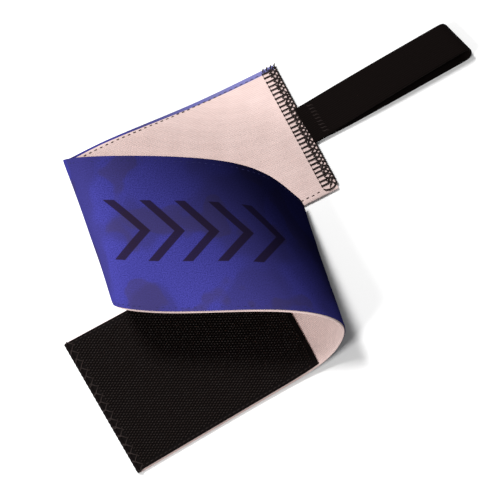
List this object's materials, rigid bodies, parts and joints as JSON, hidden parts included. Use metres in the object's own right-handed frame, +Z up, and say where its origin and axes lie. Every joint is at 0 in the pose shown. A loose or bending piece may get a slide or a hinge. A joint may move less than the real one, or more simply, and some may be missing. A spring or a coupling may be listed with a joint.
{
  "type": "hand wrap",
  "caption": "Elastic hand wrap with a printed outer face, pale inner face, hook panel and thumb loop, lying loosely folded.",
  "frame": {"origin": "centre of the bounding box in plan, on the surface the wrap lies on", "axes": "+Z up from the surface, +X from the folded side towards the thumb loop, +Y from the hook end towards the seam end"},
  "size_m": [0.2024, 0.2298, 0.0533],
  "materials": {
    "printed_cloth": "matte",
    "pale_webbing": "matte",
    "dark_thread": "matte",
    "black_elastic": "matte",
    "hook_tape": "matte"
  },
  "bodies": {
    "lead_leg": {"lead_printed_face": "printed_cloth", "lead_inner_webbing": "pale_webbing", "lead_edge_stitches": "dark_thread", "overlock_ladder_threads": "dark_thread", "overlock_looper_threads": "dark_thread", "overlock_needle_threads": "dark_thread", "overlock_edge_wrap": "dark_thread", "overlock_closing_stitch": "dark_thread", "thumb_loop_anchor": "black_elastic"},
    "middle_leg": {"middle_printed_face": "printed_cloth", "middle_inner_webbing": "pale_webbing", "middle_edge_stitches": "dark_thread"},
    "tail_leg": {"tail_printed_face": "printed_cloth", "tail_inner_webbing": "pale_webbing", "hook_tape_backing": "hook_tape", "hook_rows": "hook_tape", "hook_tape_stitches": "dark_thread", "hook_end_overcast_threads": "dark_thread"},
    "thumb_loop": {"thumb_loop_band": "black_elastic", "thumb_loop_bartack": "dark_thread"}
  },
  "joints": [
    {"name": "left_fold", "type": "hinge", "parent": "lead_leg", "child": "middle_leg", "pos_m": [-0.08776, -0.00505, 0.0303], "axis": [0.332, -0.9269, -0.175], "range_deg": [0, 120]},
    {"name": "right_fold", "type": "hinge", "parent": "middle_leg", "child": "tail_leg", "pos_m": [0.02371, -0.01771, 0.01423], "axis": [0.2643, -0.9373, 0.2273], "range_deg": [0, 150]},
    {"name": "thumb_loop_hinge", "type": "hinge", "parent": "lead_leg", "child": "thumb_loop", "pos_m": [0.01757, 0.05834, 0.001], "axis": [0.4475, -0.8943, 0], "range_deg": [0, 90]}
  ]
}
